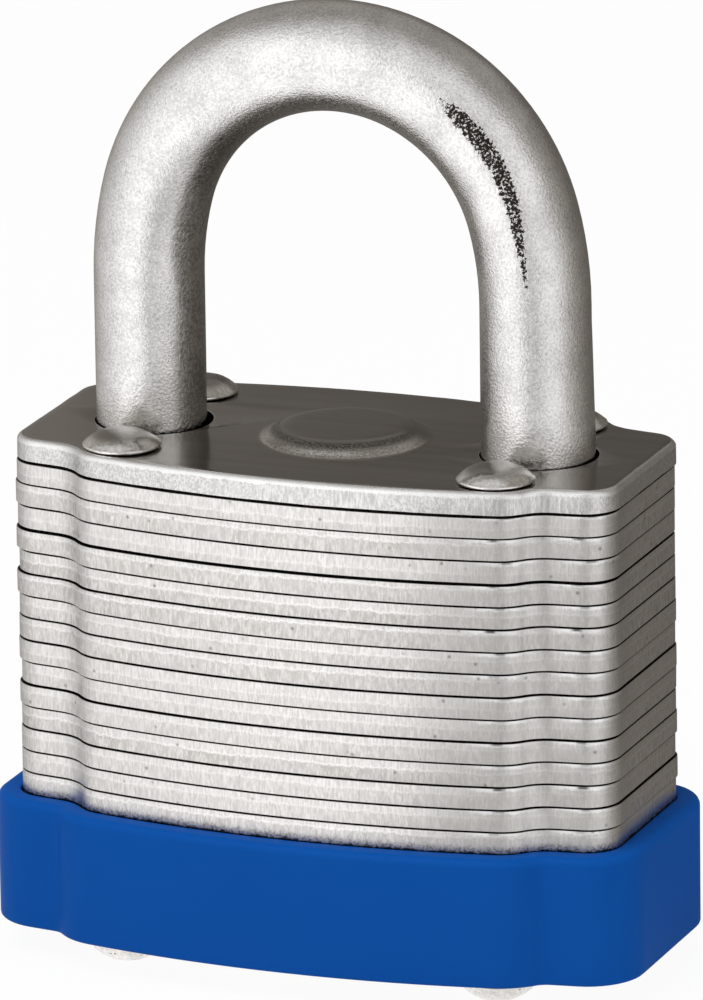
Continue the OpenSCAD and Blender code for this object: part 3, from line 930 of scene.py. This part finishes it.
    up = facing_up(tree)
    flat = step(tree, size_of(tree, up), 0.80, 0.93)
    # Painted shade: the underside of the stack is near black
    painted_underside_shade = fall(tree, z, stack_z + 0.1 * MM, stack_z + 0.2 * MM)
    colour = mix(tree, flat, wall, mix(tree, painted_underside_shade, grey(0.012, 0.1), grey(0.42, 0.03)))
    rough = sum_of(tree, torn, 0.10, sum_of(tree, lines, -0.08, 0.33))
    rough = sum_of(tree, flat, 0.3, rough)
    height = sum_of(tree, mottle, torn, times(tree, lines, 0.6))
    height = sum_of(tree, torn, -0.35, height)
    surface(tree, bsdf, colour, rough, height, 0.02 * MM, 0.8)
    return made


def top_plate_steel():
    """The same sheared edge, with a dark, finely brushed face and a pitted boss."""
    made, tree, bsdf, where = material("top_plate_steel")
    x, y, z = put(tree, "SeparateXYZ", {0: where}).outputs
    lines = noise(tree, stretched(tree, where, (1, 1, 0.22)), 4600.0, 2, 0.6)
    mottle = noise(tree, stretched(tree, where, (1, 1, 0.7)), 5600.0, 2, 0.65)
    brushed = use(tree, STREAKS, Where=where, Stretch=(0.02, 1, 1), Size=3400.0)
    cloud = noise(tree, where, 110.0, 3, 0.6)
    ragged = noise(tree, where, 1100.0, 3, 0.7)
    h = calc(tree, "DIVIDE", minus(tree, z, top_z - PLATE_T), PLATE_T)

    tone = number(tree, step(tree, cloud, 0.4, 0.6), mottle, lines)
    wall = mix(tree, step(tree, tone, 0.36, 0.64), grey(0.56, 0.02), grey(0.80, 0.02))
    rim = step(tree, wander(tree, ragged, 0.30, h), 0.71, 0.76)
    wall = mix(tree, times(tree, rim, 0.9), wall, mix(tree, ragged, grey(0.80, 0.01), grey(1.0)))

    face = mix(tree, brushed["Tone"], grey(0.29, 0.06), grey(0.36, 0.06))
    face = mix(tree, step(tree, cloud, 0.3, 0.7, 0, 0.6), face, grey(0.31, 0.07))
    left_end = sum_of(tree, y, 0.4, x)
    face = mix(tree, step(tree, left_end, -25 * MM, -16 * MM, 0.6, 0), face, grey(0.60, 0.05))
    up = facing_up(tree)
    up = wander(tree, ragged, 0.05, up)
    flat = step(tree, up, 0.93, 0.98)

    across = minus(tree, x, TOP_DRIFT)
    middle = reach_of(tree, X=across, Y=y)
    on_boss = fall(tree, middle, BOSS_R + 0.4 * MM, BOSS_R + 0.8 * MM)
    crest = size_of(tree, minus(tree, middle, BOSS_R - 1.15 * MM))
    crest = fall(tree, crest, 0.1 * MM, 0.6 * MM)
    slope = mix(tree, step(tree, mottle, 0.3, 0.7), grey(0.44, 0.05), grey(0.86, 0.04))
    # Painted light: the front of the boss's slope is lighter than its back
    boss_front_painted_light = fall(tree, y, -2.5 * MM, 1.5 * MM)
    boss_front_painted_light = times(tree, boss_front_painted_light, step(tree, middle, BOSS_R - 1.0 * MM, BOSS_R - 0.3 * MM))
    boss = mix(tree, boss_front_painted_light, face, slope)
    fine = noise(tree, where, 7000.0, 2, 0.6)
    pitted = times(tree, fall(tree, fine, 0.50, 0.60), crest)
    pitted = times(tree, pitted, step(tree, y, -1.5 * MM, 2 * MM, 1, 0.3))
    boss = mix(tree, times(tree, pitted, 0.75), boss, grey(0.09, 0.06))
    side = mix(tree, on_boss, wall, boss)
    nicks = use(tree, PITS, Where=stretched(tree, where, (1, 1, 0.5)), Size=1100.0, Amount=0.06)
    nick = times(tree, nicks["Mask"], times(tree, rim, minus(tree, 1, on_boss)))
    side = mix(tree, nick, side, grey(0.07, 0.04))
    level = times(tree, flat, minus(tree, 1, times(tree, on_boss, crest)))
    colour = mix(tree, level, side, face)

    from_leg = minus(tree, size_of(tree, across), LEG_X)
    from_leg = reach_of(tree, X=from_leg, Y=y)
    # Painted shade: the walls of the leg holes are near black
    painted_hole_shade = fall(tree, from_leg, LEG_HOLE_R + 0.01 * MM, LEG_HOLE_R + 0.06 * MM)
    colour = mix(tree, painted_hole_shade, colour, grey(0.012, 0.1))
    rough = number(tree, flat, sum_of(tree, tone, -0.08, 0.32),
                   sum_of(tree, brushed["Tone"], 0.05, 0.13))
    side_height = sum_of(tree, calc(tree, "MAXIMUM", nick, pitted), -1.5, mottle)
    face_height = times(tree, brushed["Height"], 0.08)
    height = number(tree, flat, side_height, face_height)
    surface(tree, bsdf, colour, rough, height, 0.025 * MM, 0.7)
    return made


def rivet_steel():
    made, tree, bsdf, where = material("rivet_steel")
    x, y, z = put(tree, "SeparateXYZ", {0: where}).outputs
    grain = use(tree, GRAIN, Where=where, Size=3600.0, Softness=0.6)
    cloud = noise(tree, where, 600.0, 3, 0.6)
    rim = fall(tree, z, top_z + 0.25 * MM, top_z + 0.48 * MM)
    pits = use(tree, PITS, Where=where, Size=2100.0, Amount=0.40)
    pit = times(tree, pits["Mask"], sum_of(tree, rim, 0.9, 0.05))
    colour = mix(tree, step(tree, grain["Tone"], 0.3, 0.7), grey(0.70, 0.04), grey(1.0, 0.02))
    colour = mix(tree, step(tree, cloud, 0.45, 0.72, 0, 0.4), colour, grey(0.45, 0.06))
    up = facing_up(tree)
    # Painted shade: what faces up on the head is darker
    painted_dome_top_shade = step(tree, up, 0.80, 0.93, 0, 0.85)
    colour = mix(tree, painted_dome_top_shade, colour, mix(tree, cloud, grey(0.18, 0.08), grey(0.36, 0.07)))
    colour = mix(tree, pit, colour, grey(0.03, 0.06))
    rough = sum_of(tree, grain["Tone"], 0.10, 0.12)
    height = sum_of(tree, pit, -1.5, grain["Height"])
    height = sum_of(tree, cloud, 2.0, height)
    surface(tree, bsdf, colour, rough, height, 0.025 * MM, 0.7)
    return made


def shackle_steel():
    """Blasted and plated steel. The inner side of the bend keeps a pitted skin, which is
    also painted darker as shade where the legs face each other, and the front of the
    bend at the toe side has one worn, pitted streak."""
    made, tree, bsdf, where = material("shackle_steel")
    x, y, z = put(tree, "SeparateXYZ", {0: where}).outputs
    grain = use(tree, GRAIN, Where=where, Size=5000.0, Softness=0.65)
    broad = noise(tree, where, 240.0, 4, 0.6)
    coarse = use(tree, GRAIN, Where=where, Size=3600.0, Softness=0.75)
    flecks = use(tree, PITS, Where=where, Size=2600.0, Amount=0.14)

    # Distance of a point from the middle of the bar, towards the outside of the loop
    rise = calc(tree, "MAXIMUM", minus(tree, z, ARCH_Z), 0)
    outwards = minus(tree, reach_of(tree, X=x, Z=rise), LEG_X)
    edge = calc(tree, "ADD", outwards, step(tree, x, -10 * MM, 0, 0.45 * MM, 0))
    edge = sum_of(tree, broad, 1.2 * MM, edge)
    # Inner side of the bend: a pitted skin, painted darker also as shade where the legs face each
    # other
    inner_skin_and_painted_shade = fall(tree, edge, -2.7 * MM, -1.8 * MM)

    # Where along the bend a point lies: 0 at the toe leg, half a turn at the heel leg
    turn = calc(tree, "ARCTAN2", minus(tree, z, ARCH_Z), x)
    turn = times(tree, turn, 180 / math.pi)
    middle = calc(tree, "ADD", step(tree, turn, 10, 32, 0.62 * MM, 1.02 * MM),
                  step(tree, turn, -12, 8, 0.4 * MM, 0))
    half = calc(tree, "MINIMUM", step(tree, turn, -12, 30, 0.05 * MM, 0.75 * MM),
                step(tree, turn, 46, 58, 0.75 * MM, 0.2 * MM))
    off = size_of(tree, minus(tree, outwards, middle))
    off = wander(tree, coarse["Height"], 0.5 * MM, off)
    front = fall(tree, y, -3.3 * MM, -2.9 * MM)
    dense = fall(tree, minus(tree, off, half), -0.3 * MM, 0.12 * MM)
    on_toe = times(tree, step(tree, turn, -16, 4), fall(tree, turn, 47, 60))
    dense = times(tree, times(tree, front, dense), on_toe)
    eaten = noise(tree, where, 4600.0, 3, 0.6, 0.4)
    limit = sum_of(tree, dense, 0.26, 0.29)
    streak = fall(tree, minus(tree, eaten, limit), -0.03, 0.03)
    streak = times(tree, streak, step(tree, dense, 0.02, 0.1))

    colour = mix(tree, step(tree, grain["Tone"], 0.32, 0.66), grey(0.62, 0.02), grey(0.97, 0.015))
    colour = mix(tree, times(tree, flecks["Mask"], 0.5), colour, grey(0.22, 0.05))
    # The pitted skin inside the bend, painted darker also as shade
    skin = mix(tree, step(tree, coarse["Tone"], 0.36, 0.62), grey(0.14, 0.06), grey(0.50, 0.05))
    colour = mix(tree, times(tree, inner_skin_and_painted_shade, 0.8), colour, skin)
    colour = mix(tree, streak, colour, (0.032, 0.027, 0.022, 1))

    # Painted reflection: a dark, pitted spot low on the front of each leg, where the head of the
    # rivet close to it and its shadow would be reflected
    side = minus(tree, size_of(tree, minus(tree, x, 0.75 * MM)), LEG_X)
    over = minus(tree, z, top_z + 0.5 * MM)
    height_over = calc(tree, "MAXIMUM", over, 0)
    painted_rivet_reflection = reach_of(tree, X=side, Y=height_over)
    painted_rivet_reflection = wander(tree, coarse["Height"], 0.9 * MM, painted_rivet_reflection)
    painted_rivet_reflection = times(tree, fall(tree, painted_rivet_reflection, 1.1 * MM, 1.8 * MM), front)
    painted_rivet_reflection = times(tree, painted_rivet_reflection, step(tree, over, -6 * MM, -1.5 * MM, 0.0, 1.0))
    painted_reflection_colour = mix(tree, step(tree, coarse["Height"], 0.44, 0.54), grey(0.05, 0.08), grey(0.46, 0.06))
    painted_reflection_colour = mix(tree, step(tree, over, -0.1 * MM, 0.7 * MM), painted_reflection_colour, grey(0.50, 0.05))
    colour = mix(tree, times(tree, painted_rivet_reflection, 0.75), colour, painted_reflection_colour)
    rough = sum_of(tree, grain["Tone"], 0.07, 0.075)
    rough = sum_of(tree, streak, 0.15, rough)
    height = number(tree, inner_skin_and_painted_shade, grain["Height"], times(tree, coarse["Height"], 1.8))
    height = sum_of(tree, streak, -1.2, height)
    surface(tree, bsdf, colour, rough, height, 0.055 * MM, 0.85)
    return made


def bumper_plastic():
    made, tree, bsdf, where = material(
        "bumper_plastic", metallic=0.0, roughness=0.42, IOR=1.5, Specular_IOR_Level=0.02
    )
    grain = use(tree, GRAIN, Where=where, Size=2600.0, Softness=0.5)
    cloud = noise(tree, where, 60.0, 3, 0.55)
    blue = mix(tree, cloud, (0.0025, 0.070, 0.335, 1), (0.0035, 0.081, 0.368, 1))
    blue = mix(tree, times(tree, grain["Tone"], 0.2), blue, (0.008, 0.10, 0.42, 1))
    rough = sum_of(tree, grain["Tone"], 0.12, 0.34)
    surface(tree, bsdf, blue, rough, grain["Height"], 0.008 * MM, 0.6)
    return made


def plain_metal(name, dark, light, warm, roughness, size=2400.0, depth=0.015, stretch=(1, 1, 1)):
    """A machined, cast or drawn metal with grain of its own size and direction."""
    made, tree, bsdf, where = material(name)
    lines = use(tree, STREAKS, Where=where, Stretch=stretch, Size=size)
    cloud = noise(tree, where, 260.0, 3, 0.6)
    colour = mix(tree, lines["Tone"], dark, light)
    colour = mix(tree, times(tree, cloud, 0.5), colour, warm)
    rough = sum_of(tree, cloud, 0.14, roughness)
    surface(tree, bsdf, colour, rough, lines["Height"], depth * MM, 0.7)
    return made


STEEL = {
    "plate_steel": plate_steel(),
    "top_plate_steel": top_plate_steel(),
    "rivet_steel": rivet_steel(),
    "shackle_steel": shackle_steel(),
    "bumper_plastic": bumper_plastic(),
    "bolt_steel": plain_metal(
        "bolt_steel", grey(0.46, 0.02), grey(0.66, 0.02), (0.52, 0.46, 0.33, 1), 0.28,
        stretch=(0.05, 1, 1),
    ),
    "spring_steel": plain_metal(
        "spring_steel", grey(0.36), grey(0.58), grey(0.30, 0.02), 0.24, size=3600.0
    ),
    "brass": plain_metal(
        "brass", (0.62, 0.42, 0.15, 1), (0.80, 0.58, 0.25, 1), (0.52, 0.35, 0.14, 1), 0.24,
        stretch=(1, 1, 0.05),
    ),
    "pin_nickel_silver": plain_metal(
        "pin_nickel_silver", (0.56, 0.53, 0.46, 1), (0.74, 0.71, 0.63, 1),
        (0.48, 0.45, 0.40, 1), 0.22,
    ),
    "housing_zinc": plain_metal(
        "housing_zinc", (0.40, 0.41, 0.42, 1), (0.56, 0.57, 0.57, 1), (0.34, 0.34, 0.34, 1),
        0.42, size=1500.0, depth=0.03,
    ),
}


# ---- assembly


# Drift and spread of each plate of the stack, in hundredths of a millimetre and in
# thousandths of its size, from the top down
DRIFT = [
    (0, 0), (12, -3), (4, 2), (9, 5), (3, -4), (14, 1), (6, -6), (12, 3), (5, 2), (11, -5), (14, 4),
    (6, -2), (12, 6), (7, -4), (12, 2), (5, 3), (4, 0), (0, 0), (0, 0), (0, 0), (0, 0), (0, 0),
]
SPREAD = [
    (0, 0), (-1, 2), (2, -2), (-2, 1), (1, 3), (-3, 0), (2, 2), (0, -3), (-1, 1), (2, 0), (-2, -2),
    (1, 2), (0, 0), (-2, 3), (2, -1), (-1, 0), (-3, -4), (-4, -5), (-3, -4), (-4, -5), (-3, -4),
    (-3, -4),
]

# How far each plate's outside is set down below the plate above it, in hundredths of a
# millimetre
SINK = [0, 9, 0, 1, 9, 2, 1, 2, 0, 3, 1, 4, 1, 0, 3, 1, 4, 2, 0, 0, 0, 0]


def build_stack():
    block = plate_block("plate_block")
    for level, name in enumerate(PLATES):
        if name == "top_plate":
            finish(top_plate_pressed(), name)
            continue
        if name == RIB_PLATE:
            continue
        drift = [d * 0.01 * MM for d in DRIFT[level]]
        spread = [s * 0.001 for s in SPREAD[level]]
        sink = 0.01 * MM * SINK[level]
        plate = stamped_plate(name, block, level, drift, spread, sink)
        finish(plate, name)
    bpy.data.objects.remove(block)


build_stack()
finish(rivet_set(), "rivets")
finish(soft_bumper(), "bumper")
finish(bent_shackle(), "shackle")

EASED = {
    "toe_bolt": 0.15, "heel_bolt": 0.15, "cam": 0.12, "plug": 0.12, "plug_clip": 0.05,
    "cylinder_housing": 0.15, "chamber_cap": 0.05,
}
EASED.update({f"key_pin_{i}": 0.06 for i in range(1, 6)})
EASED.update({f"driver_pin_{i}": 0.12 for i in range(1, 6)})
for node, width in EASED.items():
    piece = eased(node, f"{node}_machined", width * MM)
    finish(piece, node)

for name, node in frame["nodes"].items():
    for entry in node.material_slots:
        entry.material = STEEL[slot_of(name)]


# ---- floor, light, camera


def studio():
    scene = bpy.context.scene
    scene.view_settings.view_transform = "Standard"

    world = bpy.data.worlds.new("studio")
    world.use_nodes = True
    scene.world = world
    tree = world.node_tree
    background = tree.nodes["Background"]
    seen = seen_ray(tree)
    tree.links.new(mix(tree, seen, grey(0.45), grey(1.0)), background.inputs["Color"])

    bpy.ops.mesh.primitive_plane_add(size=6, location=(0, 0, 0))
    floor = placed(bpy.context.object)
    floor.name = "floor"
    made, tree = new_tree("floor_paper")
    bsdf = tree.nodes["Principled BSDF"]
    bsdf.inputs["Base Color"].default_value = grey(0.86)
    bsdf.inputs["Roughness"].default_value = 0.9
    glow = put(tree, "Emission", {"Color": grey(1.0), "Strength": 1.0})
    blend = put(tree, "MixShader", {0: times(tree, seen_ray(tree), 0.94)})
    tree.links.new(bsdf.outputs[0], blend.inputs[1])
    tree.links.new(glow.outputs[0], blend.inputs[2])
    camera_ray = tree.nodes.new("ShaderNodeLightPath").outputs["Is Camera Ray"]
    below = tree.nodes.new("ShaderNodeNewGeometry").outputs["Backfacing"]
    clear = put(tree, "MixShader", {0: times(tree, camera_ray, below)})
    tree.links.new(blend.outputs[0], clear.inputs[1])
    tree.links.new(put(tree, "BsdfTransparent").outputs[0], clear.inputs[2])
    tree.links.new(clear.outputs[0], tree.nodes["Material Output"].inputs["Surface"])
    floor.data.materials.append(made)


def seen_ray(tree):
    """1 for what the camera, a reflection or glass looks at, else 0."""
    path = tree.nodes.new("ShaderNodeLightPath").outputs
    seen = calc(tree, "MAXIMUM", path["Is Camera Ray"], path["Is Glossy Ray"])
    return calc(tree, "MAXIMUM", seen, path["Is Transmission Ray"])


def linked(name, data):
    made = bpy.data.objects.new(name, data)
    bpy.context.scene.collection.objects.link(made)
    return made


def away_at(azimuth, elevation):
    """The direction away from the object at an azimuth and elevation in degrees.
    Azimuth 0 is in front."""
    a, e = math.radians(azimuth), math.radians(elevation)
    return Vector((math.sin(a) * math.cos(e), -math.cos(a) * math.cos(e), math.sin(e)))


LAMP_AIM = Vector((0, 0, 0.04))


def lamp(name, azimuth, elevation, distance, size, power):
    """A soft square lamp that looks at the object."""
    away = away_at(azimuth, elevation)
    data = bpy.data.lights.new(name, "AREA")
    data.size, data.energy = size, power
    made = linked(name, data)
    made.location = LAMP_AIM + away * distance
    made.rotation_euler = (-away).to_track_quat("-Z", "Y").to_euler()
    made.visible_camera = made.visible_glossy = False


# How bright the tent is at each angle round the object, from straight behind, over the
# left, the front and the right, to straight behind
TENT = [
    (-180, 0.12), (-162, 0.15), (-148, 0.24), (-122, 0.40), (-100, 0.56), (-76, 0.76), (-58, 0.95),
    (-44, 1.06), (-20, 1.17), (-8, 1.20), (-2, 1.14), (3, 0.80), (9, 0.58), (18, 0.53), (27, 0.63),
    (38, 0.80), (51, 0.90), (64, 0.88), (76, 0.70), (90, 0.43), (104, 0.31), (125, 0.19),
    (150, 0.13), (180, 0.12),
]
TENT_LID = (0.88, 0.60, 0.29)
TENT_R, TENT_H = 0.30, 0.33


def light_tent():
    """A round tent of paper with a lid and a floor, which only reflections show. It is
    bright in front and to the left, half bright to the right, and dark behind."""
    bpy.ops.mesh.primitive_cylinder_add(
        vertices=96, radius=TENT_R, depth=TENT_H, location=(0, 0, TENT_H / 2 + 0.5 * MM)
    )
    tent = placed(bpy.context.object)
    tent.name = "light_tent"
    made, tree = new_tree("tent_paper")
    tree.nodes.remove(tree.nodes["Principled BSDF"])
    where = tree.nodes.new("ShaderNodeTexCoord").outputs["Object"]
    x, y, z = put(tree, "SeparateXYZ", {0: where}).outputs
    turn = calc(tree, "ARCTAN2", x, times(tree, y, -1))
    ramp = put(tree, "ValToRGB", {0: sum_of(tree, turn, 1 / math.tau, 0.5)})
    stops = ramp.color_ramp.elements
    for azimuth, _ in TENT[1:-1]:
        stops.new(azimuth / 360 + 0.5)
    for stop, (azimuth, light) in zip(stops, TENT):
        stop.position = azimuth / 360 + 0.5
        stop.color = grey(light, 0.2 * max(0, 0.6 - light))
    lid = step(tree, z, TENT_H - 1 * MM, TENT_H)
    front, middle, back = TENT_LID
    cover = mix(tree, step(tree, y, -200 * MM, -120 * MM), grey(front), grey(middle))
    cover = mix(tree, step(tree, y, -25 * MM, 15 * MM), cover, grey(back, 0.06))
    high = times(tree, step(tree, z, 0.5 * TENT_H, 0.75 * TENT_H), step(tree, y, 0, 0.3 * TENT_R))
    paper = mix(tree, calc(tree, "MAXIMUM", lid, high), ramp.outputs[0], cover)
    glow = put(tree, "Emission", {"Color": paper, "Strength": 1.0})
    tree.links.new(glow.outputs[0], tree.nodes["Material Output"].inputs["Surface"])
    tent.data.materials.append(made)
    for ray in ("camera", "diffuse", "shadow", "transmission", "volume_scatter"):
        setattr(tent, f"visible_{ray}", False)


def camera():
    """A long lens, a little above the top plate and to the right of the front."""
    roll = math.radians(-0.788)
    data = bpy.data.cameras.new("camera")
    data.lens, data.sensor_width = 440.0, 36.0
    made = linked("camera", data)
    back = away_at(21.26, 16.215)
    right = (-back).cross(Vector((0, 0, 1))).normalized()
    up = right.cross(-back)
    turned = math.cos(roll) * right + math.sin(roll) * up
    upright = -math.sin(roll) * right + math.cos(roll) * up
    place = Matrix((turned, upright, back)).transposed().to_4x4()
    place.translation = Vector((0.333215, -0.854842, 0.303414))
    made.matrix_world = place
    bpy.context.scene.camera = made


studio()
light_tent()
lamp("key", -30, 62, 0.9, 0.7, 5.4)
lamp("fill", 75, 40, 1.1, 0.8, 1.9)
camera()
